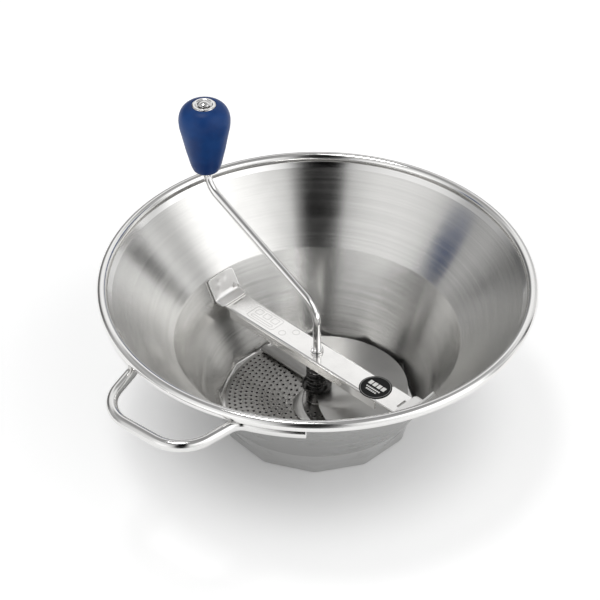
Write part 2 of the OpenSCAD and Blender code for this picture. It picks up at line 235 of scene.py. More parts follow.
def soft_max(a, b, k):
    return (a + b + np.sqrt((a - b) ** 2 + k * k)) / 2


def thick_sheet(g, t, crown=0.0):
    """A solid sheet from a grid of points g[i][j], as (verts, faces). The edges are closed by one strip each."""
    g = np.asarray(g, float)
    m, n = g.shape[:2]
    du, dv = np.gradient(g, axis=0), np.gradient(g, axis=1)
    nrm = np.cross(du, dv)
    nrm /= np.maximum(np.linalg.norm(nrm, axis=2), 1e-9)[..., None]
    top, bot = g + nrm * t / 2, g - nrm * t / 2
    v = np.concatenate([top.reshape(-1, 3), bot.reshape(-1, 3)])
    o = m * n
    f = grid_faces(m, n)
    f += [(a + o, d + o, c + o, b + o) for a, b, c, d in grid_faces(m, n)]
    ring = [(0, j) for j in range(n)] + [(i, n - 1) for i in range(1, m)] + [(m - 1, j) for j in range(n - 2, -1, -1)] + [(i, 0) for i in range(m - 2, 0, -1)]
    idx = [i * n + j for i, j in ring]
    for k in range(len(idx)):
        a, b = idx[k], idx[(k + 1) % len(idx)]
        f.append((a, b, b + o, a + o))
    return v, f


# ---------------------------------------------------------------- materials
class Mat:
    """A small node builder round one Principled shader."""

    def __init__(self, name, color, metallic, roughness, **plain):
        self.m = bpy.data.materials.new(name)
        self.m.use_nodes = True
        self.nt = self.m.node_tree
        self.b = next(n for n in self.nt.nodes if n.type == "BSDF_PRINCIPLED")
        self.b.inputs["Base Color"].default_value = (*color, 1)
        self.b.inputs["Metallic"].default_value = metallic
        self.b.inputs["Roughness"].default_value = roughness
        for k, v in plain.items():
            self.b.inputs[k.replace("_", " ")].default_value = v

    def node(self, kind, props=None, **inputs):
        n = self.nt.nodes.new(kind)
        for k, v in (props or {}).items():
            setattr(n, k, v)
        for k, v in inputs.items():
            key = int(k[1:]) if k[0] == "i" and k[1:].isdigit() else k.replace("_", " ")
            if isinstance(v, bpy.types.NodeSocket):
                self.nt.links.new(v, n.inputs[key])
            else:
                n.inputs[key].default_value = v
        return n

    def math(self, op, a, b=0.0, c=None, clamp=False):
        n = self.node("ShaderNodeMath", {"operation": op, "use_clamp": clamp}, i0=a, i1=b)
        if c is not None:
            if isinstance(c, bpy.types.NodeSocket):
                self.nt.links.new(c, n.inputs[2])
            else:
                n.inputs[2].default_value = c
        return n.outputs[0]

    def ramp(self, value, lo, hi, to_lo, to_hi, smoothstep=True):
        n = self.node("ShaderNodeMapRange", {"interpolation_type": "SMOOTHSTEP" if smoothstep else "LINEAR"},
                      Value=value, From_Min=lo, From_Max=hi, To_Min=to_lo, To_Max=to_hi)
        return n.outputs[0]

    def vec(self, x, y, z):
        return self.node("ShaderNodeCombineXYZ", None, X=x, Y=y, Z=z).outputs[0]

    def noise(self, vector, scale, detail=2.0, rough=0.5):
        return self.node("ShaderNodeTexNoise", {"noise_dimensions": "3D"}, Vector=vector, Scale=scale, Detail=detail, Roughness=rough).outputs["Fac"]

    def coords(self):
        o = self.node("ShaderNodeTexCoord").outputs["Object"]
        s = self.node("ShaderNodeSeparateXYZ", None, Vector=o)
        return o, s.outputs[0], s.outputs[1], s.outputs[2]

    def mix(self, fac, a, b):
        n = self.node("ShaderNodeMix", {"data_type": "RGBA"})
        for key, v in ((0, fac), (6, a), (7, b)):
            if isinstance(v, bpy.types.NodeSocket):
                self.nt.links.new(v, n.inputs[key])
            else:
                n.inputs[key].default_value = v if key == 0 else (*v, 1)
        return n.outputs[2]

    def to(self, socket, value):
        self.nt.links.new(value, self.b.inputs[socket])
        return self

    def bump(self, height, distance, strength=1.0):
        n = self.node("ShaderNodeBump", None, Height=height, Distance=distance, Strength=strength)
        self.nt.links.new(n.outputs[0], self.b.inputs["Normal"])
        return self

    def tangent(self, axis="Z"):
        n = self.node("ShaderNodeTangent", {"direction_type": "RADIAL", "axis": axis})
        self.nt.links.new(n.outputs[0], self.b.inputs["Tangent"])
        return self


def turned_steel(name, color, rough, spread, anis, fine=2400, coarse=420, bump=0.000002, tint=0.04, round_k=1.3, wear=None):
    """Steel brushed round the Z axis: fine lines, broader bands and faint wear, all from the radius and the height."""
    m = Mat(name, color, 1.0, rough, Anisotropic=anis, Anisotropic_Rotation=0.25)
    o, x, y, z = m.coords()
    r = m.math("SQRT", m.math("ADD", m.math("MULTIPLY", x, x), m.math("MULTIPLY", y, y)))
    safe = m.math("MAXIMUM", r, 0.0001)
    cx, cy = m.math("DIVIDE", x, safe), m.math("DIVIDE", y, safe)
    s = m.math("ADD", r, z)
    lines = m.noise(m.vec(m.math("MULTIPLY", cx, round_k), m.math("MULTIPLY", cy, round_k), m.math("MULTIPLY", s, fine)), 1.0, 3.0, 0.6)
    bands = m.noise(m.vec(m.math("MULTIPLY", cx, round_k * 0.4), m.math("MULTIPLY", cy, round_k * 0.4), m.math("MULTIPLY", s, coarse)), 1.0, 2.0, 0.5)
    cloud = m.noise(o, 22.0, 3.0, 0.55)
    both = m.math("ADD", m.math("MULTIPLY", lines, 0.55), m.math("MULTIPLY", bands, 0.45))
    m.to("Roughness", m.math("ADD", m.ramp(both, 0.3, 0.7, rough - spread, rough + spread, False), m.ramp(cloud, 0.35, 0.7, -0.02, 0.03)))
    dark = tuple(c * (1 - 2 * tint) for c in color)
    lite = tuple(min(1, c * (1 + tint)) for c in color)
    m.to("Base Color", m.mix(m.ramp(both, 0.3, 0.7, 0.0, 1.0), dark, lite))
    m.bump(lines, bump, 1.0)
    m.tangent("Z")
    return m.m


def steel(name, color, rough, spread=0.05, scale=900, stretch=(1, 1, 1), turn=0.0, bump=0.000004, tint=0.04, spots=0.0, **plain):
    """Sheet or wire steel: lines along one direction when stretched, fine grain otherwise, with faint stains."""
    m = Mat(name, color, 1.0, rough, **plain)
    o, x, y, z = m.coords()
    v = m.node("ShaderNodeMapping", {"vector_type": "POINT"}, Vector=o, Rotation=(0, 0, math.radians(turn)), Scale=stretch).outputs[0]
    grain = m.noise(v, scale, 3.0, 0.6)
    cloud = m.noise(o, 40.0, 4.0, 0.6)
    m.to("Roughness", m.math("ADD", m.ramp(grain, 0.3, 0.7, rough - spread, rough + spread, False), m.ramp(cloud, 0.4, 0.75, -0.01, spread)))
    dark = tuple(c * (1 - 2 * tint - spots) for c in color)
    lite = tuple(min(1, c * (1 + tint)) for c in color)
    m.to("Base Color", m.mix(m.math("MULTIPLY_ADD", grain, 0.4, m.ramp(cloud, 0.35, 0.65, 0.0, 0.6)), dark, lite))
    m.bump(grain, bump, 1.0)
    return m.m


INNER = turned_steel("bowl_inner_brushed", (0.70, 0.695, 0.68), 0.20, 0.03, 0.97)
# Painted shade: the outside is the same steel as the inside, given a darker colour so it shows darker reflections; its
# higher roughness is the real satin finish.
OUTER_SHADED = turned_steel("bowl_outer_satin_painted_shade", (0.47, 0.47, 0.465), 0.26, 0.03, 0.8, coarse=300, tint=0.025)
RIM = turned_steel("bowl_rim_polished", (0.80, 0.795, 0.785), 0.13, 0.03, 0.3, bump=0.0000008, tint=0.02)
FOOT = turned_steel("foot_satin", (0.58, 0.58, 0.575), 0.17, 0.04, 0.4, coarse=500)
WIRE = steel("handle_wire", (0.74, 0.735, 0.725), 0.10, 0.03, 700, bump=0.000002, tint=0.02)
WELD = steel("weld", (0.46, 0.44, 0.41), 0.42, 0.08, 1400, bump=0.00003, tint=0.10, spots=0.1)
ROD = steel("rod_polished", (0.82, 0.815, 0.81), 0.09, 0.025, 800, bump=0.0000015, tint=0.02)
KEEP = steel("keeper_bright", (0.90, 0.89, 0.875), 0.36, 0.05, 700, bump=0.000005, tint=0.03)
SIEVE = steel("sieve_satin", (0.50, 0.49, 0.475), 0.30, 0.05, 1100, bump=0.000004, tint=0.06)
# Painted shade: near-black steel for the sieve's hole walls and underside, so the holes read dark as if in shadow.
HOLE_SHADE = steel("sieve_hole_painted_shade", (0.10, 0.095, 0.09), 0.45, 0.05, 1500, bump=0.00001, tint=0.08)
BLADE = steel("blade_sheet", (0.47, 0.465, 0.455), 0.42, 0.02, 800, stretch=(0.3, 1, 1), turn=-100, bump=0.000003, tint=0.04)
DULL = steel("turned_dull", (0.26, 0.255, 0.25), 0.28, 0.06, 900, bump=0.000005, tint=0.08)
SPRING = steel("spring_wire", (0.075, 0.073, 0.071), 0.26, 0.06, 1200, bump=0.000004, tint=0.12)


def knob_plastic():
    """Satin blue moulded plastic: fine spark-eroded grain, slightly paler where hands rub it."""
    m = Mat("knob_blue_plastic", (0.006, 0.045, 0.2), 0.0, 0.42, Specular_IOR_Level=0.22)
    o, x, y, z = m.coords()
    grain = m.noise(o, 2600.0, 2.0, 0.5)
    fine = m.node("ShaderNodeTexVoronoi", {"feature": "F1"}, Vector=o, Scale=1900.0).outputs["Distance"]
    cloud = m.noise(o, 60.0, 3.0, 0.5)
    m.to("Base Color", m.mix(m.ramp(m.math("MULTIPLY_ADD", grain, 0.3, cloud), 0.45, 0.85, 0, 1), (0.004, 0.034, 0.150), (0.006, 0.052, 0.205)))
    m.to("Roughness", m.math("ADD", m.ramp(cloud, 0.35, 0.7, 0.34, 0.42), m.math("MULTIPLY", grain, 0.06)))
    m.bump(m.math("ADD", grain, fine), 0.00002, 0.7)
    return m.m


KNOB = knob_plastic()


def stamped_bar():
    """Polished channel with lines along its length and a faint, plain stamp: a frame, three strokes and two rings."""
    m = Mat("bar_polished", (0.88, 0.87, 0.855), 1.0, 0.16)
    o, x, y, z = m.coords()
    c, s_ = math.cos(math.radians(BAR_AZ)), math.sin(math.radians(BAR_AZ))
    u = m.math("ADD", m.math("MULTIPLY", x, c), m.math("MULTIPLY", y, s_))
    w = m.math("SUBTRACT", m.math("MULTIPLY", y, c), m.math("MULTIPLY", x, s_))

    def rounded(cu_, cw, hu, hw, rad):
        du = m.math("MAXIMUM", m.math("SUBTRACT", m.math("ABSOLUTE", m.math("SUBTRACT", u, cu_)), hu - rad), 0.0)
        dw = m.math("MAXIMUM", m.math("SUBTRACT", m.math("ABSOLUTE", m.math("SUBTRACT", w, cw)), hw - rad), 0.0)
        return m.math("SUBTRACT", m.math("SQRT", m.math("ADD", m.math("MULTIPLY", du, du), m.math("MULTIPLY", dw, dw))), rad)

    def line(d, half=0.00022):
        return m.ramp(m.math("ABSOLUTE", d), half, half + 0.00022, 1.0, 0.0)

    marks = line(rounded(0.0535, -0.0005, 0.0135, 0.0068, 0.002))
    for cu_ in (0.0455, 0.0535, 0.0615):
        marks = m.math("MAXIMUM", marks, line(rounded(cu_, -0.0028, 0.0028, 0.0026, 0.001)))
    marks = m.math("MAXIMUM", marks, line(rounded(0.0535, 0.0032, 0.0105, 0.0011, 0.001)))
    for cu_, cw in ((0.0325, 0.003), (0.0255, -0.0045)):
        marks = m.math("MAXIMUM", marks, line(rounded(cu_, cw, 0.0026, 0.0026, 0.0026)))
    top = m.ramp(z, float(BAR_TOP - 0.6) * MM, float(BAR_TOP - 0.2) * MM, 0.0, 1.0)
    marks = m.math("MULTIPLY", marks, top)
    grain = m.noise(m.vec(m.math("MULTIPLY", u, 90.0), m.math("MULTIPLY", w, 1500.0), m.math("MULTIPLY", z, 1500.0)), 1.0, 3.0, 0.6)
    cloud = m.noise(o, 45.0, 4.0, 0.6)
    base = m.mix(grain, (0.83, 0.82, 0.805), (0.90, 0.89, 0.875))
    m.to("Base Color", m.node("ShaderNodeMix", {"data_type": "RGBA"}, i0=m.math("MULTIPLY", marks, 0.3), i6=base, i7=(0.42, 0.40, 0.38, 1)).outputs[2])
    m.to("Roughness", m.math("ADD", m.ramp(grain, 0.3, 0.7, 0.13, 0.19, False), m.ramp(cloud, 0.4, 0.75, 0.0, 0.05)))
    m.bump(m.math("SUBTRACT", m.math("MULTIPLY", grain, 0.08), marks), 0.00002, 0.5)
    return m.m


BAR = stamped_bar()


def badge_print():
    """Black gloss label with a generic white ring and a rosette of dots."""
    m = Mat("badge_label", (0.012, 0.012, 0.012), 0.0, 0.4, Specular_IOR_Level=0.15)
    lo, hi = mm("bar_badge")
    c = (lo + hi) / 2 * MM
    o, x, y, z = m.coords()
    dx, dy = m.math("SUBTRACT", x, float(c[0])), m.math("SUBTRACT", y, float(c[1]))
    r = m.math("SQRT", m.math("ADD", m.math("MULTIPLY", dx, dx), m.math("MULTIPLY", dy, dy)))
    a = m.math("ARCTAN2", dy, dx)

    def band(mid, half):
        return m.ramp(m.math("ABSOLUTE", m.math("SUBTRACT", r, mid)), half, half + 0.00012, 1.0, 0.0)

    ba = math.radians(BAR_AZ)
    u = m.math("ADD", m.math("MULTIPLY", dx, math.cos(ba)), m.math("MULTIPLY", dy, math.sin(ba)))
    w = m.math("SUBTRACT", m.math("MULTIPLY", dy, math.cos(ba)), m.math("MULTIPLY", dx, math.sin(ba)))

    def stripe(mid, half, length, cells=0.0, duty=0.5):
        a1 = m.ramp(m.math("ABSOLUTE", m.math("SUBTRACT", w, mid)), half, half + 0.0001, 1.0, 0.0)
        a2 = m.ramp(m.math("ABSOLUTE", u), length, length + 0.0001, 1.0, 0.0)
        out = m.math("MULTIPLY", a1, a2)
        if cells:
            f = m.math("ABSOLUTE", m.math("SUBTRACT", m.math("FRACT", m.math("DIVIDE", u, cells)), 0.5))
            out = m.math("MULTIPLY", out, m.ramp(f, duty * 0.5, duty * 0.5 + 0.05, 1.0, 0.0))
        return out

    rim_line = band(0.01095, 0.00016)
    mark = m.math("MAXIMUM", m.math("MAXIMUM", stripe(-0.0020, 0.0020, 0.0078, 0.0039, 0.74), stripe(0.0026, 0.0006, 0.0064, 0.0016, 0.7)),
                  m.math("MAXIMUM", stripe(0.0049, 0.0006, 0.0047, 0.0016, 0.7), m.math("MULTIPLY", rim_line, 0.35)))
    scuff = m.noise(o, 700.0, 4.0, 0.6)
    ink = m.math("MULTIPLY", mark, m.ramp(scuff, 0.28, 0.42, 0.75, 1.0))
    m.to("Base Color", m.mix(ink, (0.008, 0.008, 0.008), (0.86, 0.86, 0.84)))
    m.to("Roughness", m.ramp(scuff, 0.3, 0.7, 0.36, 0.48))
    m.bump(scuff, 0.000004, 1.0)
    return m.m


BADGE = badge_print()


# ---------------------------------------------------------------- bowl
def cone_in(z):
    return CREASE_R - (CREASE_Z - z) * CL if z < CREASE_Z else CREASE_R + (z - CREASE_Z) * CU


def cone_out(z):
    return CREASE_RO - (CREASE_ZO - z) * CL if z < CREASE_ZO else CREASE_RO + (z - CREASE_ZO) * CU


def azimuths():
    out = []
    for i in range(12):
        for k in range(44):
            t = -1 + 2 * k / 44
            out.append(FOOT_PHASE + 15 + 30 * i + 15 * (0.5 * t + 0.5 * math.sin(math.pi * t / 2)))
    return np.radians(out)


AZ = azimuths()
_flats = [np.cos(AZ - math.radians(FOOT_PHASE + 15 + 30 * i)) for i in range(12)]
FOOT_UNIT = sum(np.maximum(c, 0.0) ** 170 for c in _flats) ** (1 / 170)


def foot_r(z, inset):
    return (APO - inset + z * math.tan(LEAN)) / FOOT_UNIT


def wall_r(z, outer, inset=None):
    base = cone_out(z) if outer else cone_in(z)
    if inset is None:
        inset = 0.0 if outer else SHEET
    if z > 46:
        return np.full(len(AZ), base)
    f = foot_r(z, inset)
    m = soft_max(f, base, 0.7)
    w = 1 - smooth((z - 26) / 20)
    return base + (m - base) * w


def bowl_rows():
    """Stations round the closed section of the sheet: (radii over azimuth, height, material slot)."""
    rows = []

    def add(r, z, slot):
        rows.append((np.broadcast_to(r, AZ.shape).astype(float), float(z), slot))

    # fold at the table, then up the outside of the foot
    for a in (180, 210, 240, 262):
        t = math.radians(a)
        add(foot_r(1.0, 1.0) + math.cos(t) * 1.0, 1.0 + math.sin(t) * 1.0, 3)
    for a in (275, 295, 320, 345):
        t = math.radians(a)
        add(foot_r(1.0, 1.0) + math.cos(t) * 1.0, 1.0 + math.sin(t) * 1.0, 3)
    for z in np.linspace(1.3, 20, 30):
        add(wall_r(z, True), z, 3)
    for z in np.linspace(23, 62, 13):
        add(wall_r(z, True), z, 1)
    # crease, rounded over the mitre, then the flared cone up to the curl
    out_line = fillet([(cone_out(62), 62), (CREASE_RO, CREASE_ZO, 6), (cone_out(80), 80)], 6, 8, closed=False)
    for r, z in out_line[1:-1]:
        add(r, z, 1)
    for z in np.linspace(80, 114.5, 10):
        add(cone_out(z), z, 1)
    # into the curl: the sheet's outer face runs into the curl's inner circle
    ri, ro = BEAD - SHEET, BEAD
    a_in = 212
    for a in np.linspace(a_in, -96, 24):
        t = math.radians(a)
        if a == a_in:
            p = (BC[0] + ri * math.cos(t), BC[1] + ri * math.sin(t))
            q = (cone_out(114.5), 114.5)
            for k in (0.35, 0.7):
                add(q[0] + (p[0] - q[0]) * k, q[1] + (p[1] - q[1]) * k, 1)
        add(BC[0] + ri * math.cos(t), BC[1] + ri * math.sin(t), 2)
    for a in (-98, -99.5, -98):
        t = math.radians(a)
        k = {-98: 0.25, -99.5: 0.5}[a] if len([1 for r_ in rows if r_[2] == 4]) == 0 else 0.75
        rr = ri + (ro - ri) * k
        rows.append((np.full(len(AZ), BC[0] + rr * math.cos(t)), BC[1] + rr * math.sin(t), 4))
    # outside of the curl, over the top and down to the inner face
    for a in np.linspace(-95, 190, 40):
        t = math.radians(a)
        add(BC[0] + ro * math.cos(t), BC[1] + ro * math.sin(t), 2)
    t = math.radians(208)
    start = (BC[0] + ro * math.cos(math.radians(196)), BC[1] + ro * math.sin(math.radians(196)))
    meet = (BC[0] + ro * math.cos(t), BC[1] + ro * math.sin(t))
    turn = fillet([start, (meet[0], meet[1], 1.2), (cone_in(meet[1] - 3.2), meet[1] - 3.2)], 1.2, 5, closed=False)
    for r, z in turn:
        add(r, z, 2 if z > meet[1] - 0.6 else 0)
    top_z = meet[1] - 3.2
    for z in np.linspace(top_z, 80, 12)[1:]:
        add(cone_in(z), z, 0)
    in_line = fillet([(cone_in(80), 80), (CREASE_R, CREASE_Z, 5), (cone_in(60), 60)], 5, 8, closed=False)
    for r, z in in_line[1:]:
        add(r, z, 0)
    for z in np.linspace(60, 24, 13)[1:]:
        add(wall_r(z, False), z, 0)
    for z in np.linspace(22, SEAT_Z + 0.9, 22):
        add(wall_r(z, False), z, 0)
    # cove into the seat, seat, outlet edge, underside, inside of the hem
    cove = wall_r(SEAT_Z, False)
    for k in (20, 45, 70, 90):
        t = math.radians(k)
        add(cove - 0.9 * (1 - math.cos(t)), SEAT_Z + 0.9 * (1 - math.sin(t)), 0)
    for k in (0.3, 0.65):
        add(cove - 0.9 + (OUTLET_R + 0.5 - cove + 0.9) * k, SEAT_Z, 0)
    for a in (90, 120, 150, 180, 210, 240, 270):
        t = math.radians(a)
        add(OUTLET_R + 0.5 + 0.5 * math.cos(t), SEAT_Z - 0.5 + 0.5 * math.sin(t), 0)
    zi = SEAT_Z - SEAT_T
    hem = foot_r(zi, 2 * SHEET)
    add(OUTLET_R + (hem - OUTLET_R) * 0.5, zi, 3)
    add(hem - 0.5, zi, 3)
    add(hem - 0.12, zi - 0.12, 3)
    for z in np.linspace(zi - 0.5, 1.2, 6):
        add(foot_r(z, 2 * SHEET), z, 3)
    return rows


def make_bowl():
    rows = bowl_rows()
    n = len(AZ)
    c, s = np.cos(AZ), np.sin(AZ)
    v = np.concatenate([np.stack([r * c, r * s, np.full(n, z)], 1) for r, z, _ in rows])
    f = grid_faces(len(rows), n, True, True)
    slots = np.repeat([min(sl, 2) if sl == 4 else sl for _, _, sl in rows], n)
    slots = [2 if k == 4 else k for k in np.repeat([sl for _, _, sl in rows], n)]
    ob = piece("bowl_shell", v, f, "bowl", [INNER, OUTER_SHADED, RIM, FOOT], ["bowl"], slots=slots, weighted=False)
    return ob


make_bowl()


# ---------------------------------------------------------------- loop handle and its welds
def handle_path():
    grip_x, grip_half, loop_r, loop_turn, leg_bend, leg_r, leg_end = 187.2, 13.0, 27.0, 78.0, 12.0, 148.9, 35.0
    h = np.array([grip_x - loop_r, grip_half])
    ct, st = math.cos(math.radians(loop_turn)), math.sin(math.radians(loop_turn))
    e = h + loop_r * np.array([ct, st])
    d, nn = np.array([-st, ct]), np.array([ct, st])
    q = e + leg_bend * nn
    b = q @ d
    ln = -b - math.sqrt(b * b - (q @ q - (leg_r + leg_bend) ** 2))
    c = q + ln * d
    leg_a = math.degrees(math.atan2(c[1], c[0]))
    line0 = np.linspace(0, 1, 6)[:-1, None] * h[1] * np.array([[0, 1.0]]) + np.array([[grip_x, 0]])
    curve = arc(h, loop_r, 0, loop_turn, 26)
    mid = np.linspace(0, 1, 8)[1:-1, None] * (c + leg_bend * np.array([math.cos(math.radians(180 + loop_turn)), math.sin(math.radians(180 + loop_turn))]) - curve[-1]) + curve[-1]
    bend = arc(c, leg_bend, 180 + loop_turn, 180 + leg_a, 18)
    leg = arc((0, 0), leg_r, leg_a, leg_end, 26)[1:]
    half = np.concatenate([line0, curve, mid, bend, leg])
    full = np.concatenate([(half * [1, -1])[::-1], half[1:]])
    return np.column_stack([full, np.zeros(len(full))])


HANDLE_LO, HANDLE_HI = mm("loop_handle")
HANDLE_Z = float((HANDLE_LO[2] + HANDLE_HI[2]) / 2)
v, f = tube(handle_path(), 3.985, 36, cap=0.7)
piece("loop_handle_wire", rot(v, HANDLE_AZ) + [0, 0, HANDLE_Z], f, "bowl", [WIRE], ["loop_handle"], weighted=False)


def welds():
    """Four short weld beads with the ripple of a hand weld, under the rim beside each leg."""
    vs, fs = [], []
    for s in (-1, 1):
        for a in (24, 31):
            a0 = a if s > 0 else -a
            pts, rad = [], []
            for k in range(25):
                t = k / 24
                an = math.radians(HANDLE_AZ + a0 + 3 * t)
                r = 148.9 - 2.6
                pts.append((r * math.cos(an), r * math.sin(an), HANDLE_Z + 3.1))
                rad.append(1.42 + 0.08 * math.cos(t * 2 * math.pi * 6))
            v, f = tube(pts, np.array(rad), 14, cap=0.8)
            n = sum(len(x) for x in vs)
            vs.append(v)
            fs += [tuple(i + n for i in q) for q in f]
    piece("handle_weld_beads", np.concatenate(vs), fs, "bowl", [WELD], ["handle_welds"], weighted=False)


welds()


# ---------------------------------------------------------------- keepers
LED_Z, LED_T, KEEP_W = BAR_TOP + 0.3, 1.4, 25.0
KX0 = math.sqrt(cone_in(LED_Z) ** 2 - (KEEP_W / 2) ** 2) - 0.05
KX1 = KX0 + (68.4 - LED_Z) * CL - 0.15


def keeper(name, node, az):
    """A pressed bracket: a plate that follows the wall, a bend, and a ledge whose ends curl down a little."""
    ny, half = 41, KEEP_W / 2
    # middle line of the sheet across the bend, from the ledge's tip to the plate's top
    mid_led = LED_Z + LED_T / 2
    foot = (KX0 - 0.9, mid_led)
    line = fillet([(84.5, mid_led), (foot[0], foot[1], 2.4), (KX1 - 0.85, 68.4)], 2.4, 8, closed=False)
    pts = [np.array(line[0])]
    for q in line[1:]:
        a, b = pts[-1], np.array(q)
        k = max(1, int(np.linalg.norm(b - a) / 0.7))
        pts += [a + (b - a) * (i + 1) / k for i in range(k)]
    pts = np.array(pts)
    d = np.gradient(pts, axis=0)
    s = np.concatenate([[0], np.cumsum(np.linalg.norm(np.diff(pts, axis=0), axis=1))])
    total = s[-1]
    ys = half * np.sin(np.linspace(-1, 1, ny) * math.pi / 2) * 0.35 + np.linspace(-half, half, ny) * 0.65
    g = np.zeros((len(pts), ny, 3))
    for i, (x, z) in enumerate(pts):
        up = smooth((z - mid_led) / 3)
        for j, y in enumerate(ys):
            yy = y
            # corners of the outline rounded in plan
            end_r = 2.2
            for e in (s[i], total - s[i]):
                if e < end_r:
                    lim = half - end_r + math.sqrt(max(0, end_r ** 2 - (end_r - e) ** 2))
                    yy = max(-lim, min(lim, yy)) if abs(yy) > lim else yy
            wall = math.sqrt(max(1, cone_in(z) ** 2 - yy * yy)) - math.sqrt(cone_in(z) ** 2 - half ** 2)
            xx = x + up * wall * 0.94
            # dimples of the spot welds, and the ledge's clockwise end curled down
            zz = z
            for dy, dz, amp in ((4.2, 63.6, 0.24), (-2.6, 65.2, 0.2), (6.0, 58.6, 0.24)):
                q2 = ((yy - dy) ** 2 + (z - dz) ** 2) / 4.5
                xx += amp * math.exp(-q2) * up
            if up < 0.5:
                zz -= 1.1 * smooth((-yy - 9.4) / 3.1) + 0.35 * smooth((yy - 10.6) / 1.9)
            g[i, j] = (xx, yy, zz)
    v, f = thick_sheet(g, LED_T)
    return piece(name, rot(v, az), f, "bowl", [KEEP], [node], doubles=0.01, bevel=(0.3, 2, 50))


keeper("keeper_left_bracket", "bar_keeper_left", BAR_AZ)
keeper("keeper_right_bracket", "bar_keeper_right", BAR_AZ + 180)


def rivets():
    vs, fs = [], []
    for a in (0, 180):
        prof = fillet([(0.0, -1.35, 0), (1.2, -1.4, 0.5), (1.9, -1.15, 0.3), (1.95, -0.2, 0), (0.9, -0.2, 0), (0.9, 2.9, 0), (0, 2.9, 0)], 0.3, 4)
        # a shallow dish in the head
        prof = [(0.0, -1.0), (0.6, -1.02), (0.95, -1.25)] + fillet([(1.2, -1.4, 0), (1.9, -1.2, 0.45), (1.95, -0.2, 0.1), (1.0, -0.2, 0), (1.0, 2.9, 0), (0.0, 2.9, 0)], 0.3, 4, closed=False)
        v, f = lathe(prof, 32)
        t = math.radians(90 - (90 - 61.5))
        c, s = math.cos(t), math.sin(t)
        v = np.stack([v[:, 0] * c + v[:, 2] * s, v[:, 1], -v[:, 0] * s + v[:, 2] * c], 1)
        v = v + [KX0 + 2.6 * CL - 1.2, -8.6, 57]
        v = rot(v, BAR_AZ + a)
        n = sum(len(x) for x in vs)
        vs.append(v)
        fs += [tuple(i + n for i in q) for q in f]
    piece("keeper_rivet_heads", np.concatenate(vs), fs, "bowl", [KEEP], ["keeper_rivets"], doubles=0.001, sharp=50)


rivets()


# ---------------------------------------------------------------- sieve
def sieve():
    """A disc with every hole cut through it and each hole's edge raised a little, as a punch leaves it."""
    r_out, t, hole = 67.8, 0.8, 0.9
    z1 = SEAT_Z + t
    rings = []
    for k in range(13):
        r = 16.8 + 4 * k
        n = round(2 * math.pi * r / (5.6 if k < 5 else 4.3))
        for i in range(n):
            rings.append((r, math.radians((i + (k % 2) / 2) * 360 / n + 7 * k)))
    centres = np.array([(r * math.cos(a), r * math.sin(a)) for r, a in rings])
    m, mo = 12, 12
    pts, kind = [], []
    edges = []

    def loop(cx, cy, rad, count, tag, ph=0.0):
        base = len(pts)
        for j in range(count):
            a = ph + j * 2 * math.pi / count
            pts.append((cx + rad * math.cos(a), cy + rad * math.sin(a)))
            kind.append(tag)
        for j in range(count):
            edges.append((base + j, base + (j + 1) % count))

    loop(0, 0, r_out, 220, 1)
    loop(0, 0, r_out - 1.0, 200, 2)
    loop(0, 0, 5.5, 40, 3)
    loop(0, 0, 6.4, 44, 4)
    for cx, cy in centres:
        loop(cx, cy, hole, m, 5)
        loop(cx, cy, hole + 0.16, mo, 6, math.pi / m)
        loop(cx, cy, hole + 0.42, mo, 7)
    out = delaunay_2d_cdt([Vector(p) for p in pts], edges, [], 0, 1e-6)
    co = np.array([tuple(p) for p in out[0]])
    back = [o[0] if o else -1 for o in out[3]]
    tag = np.array([kind[b] if b >= 0 else 0 for b in back])
    faces = []
    cen = np.array([co[list(fc)].mean(0) for fc in out[2]])
    rc = np.hypot(cen[:, 0], cen[:, 1])
    inside = (rc < 5.5 * math.cos(math.pi / 40) + 1e-6) | (rc > r_out)
    # a face whose corners all lie on one hole's inner loop is the hole itself
    for fi, fc in enumerate(out[2]):
        if inside[fi] or all(tag[i] == 5 for i in fc):
            continue
        faces.append(tuple(fc))
    z_top = np.full(len(co), z1)
    z_top[tag == 5] = z1 + 0.10
    z_top[tag == 6] = z1 + 0.09
    z_top[tag == 7] = z1
    z_top[tag == 1] = z1 - 0.12
    z_bot = np.full(len(co), SEAT_Z)
    z_bot[tag == 5] = SEAT_Z + 0.16
    z_bot[tag == 6] = SEAT_Z + 0.10
    n = len(co)
    v = np.concatenate([np.column_stack([co, z_top]), np.column_stack([co, z_bot])])
    faces2 = [tuple(i + n for i in fc)[::-1] for fc in faces]
    # side walls where an edge has one face
    count = {}
    for fc in faces:
        for i in range(len(fc)):
            a, b = fc[i], fc[(i + 1) % len(fc)]
            count[(a, b)] = count.get((a, b), 0) + 1
    walls = [(b, a, a + n, b + n) for (a, b) in count if (b, a) not in count]
    v[:, 2] = np.minimum(v[:, 2], z1 + 0.10)
    # slot 1 puts the painted-shade material on the underside and on the hole walls
    slots = [0] * len(faces) + [1] * (len(faces2) + len(walls))
    piece("sieve_perforated", v, faces + faces2 + walls, "bowl", [SIEVE, HOLE_SHADE], ["sieve_disc"], recalc=True, sharp=32, slots=slots, weighted=False)


sieve()
v, f = lathe(fillet([(3.06, 4.2, 0.3), (5.4, 4.2, 0.3), (5.4, 6.9, 0), (5.5, 7.0, 0), (7.5, 7.0, 0.1), (7.5, 7.7, 0.35), (3.06, 7.7, 0.45)], 0.2, 5), 72)
piece("sieve_eyelet_ring", v, f, "bowl", [KEEP], ["sieve_eyelet"])

# ---------------------------------------------------------------- spring, washer and cup
WASH_Z = BAR_TOP - 1.5 - 1.3
v, f = lathe(fillet([(3.4, WASH_Z, 0.15), (9, WASH_Z, 0.3), (9, WASH_Z + 1, 0.3), (3.4, WASH_Z + 1, 0.15)], 0.2, 4), 72)
piece("upper_washer", v, f, "spring_seat", [DULL], ["upper_spring_washer"])

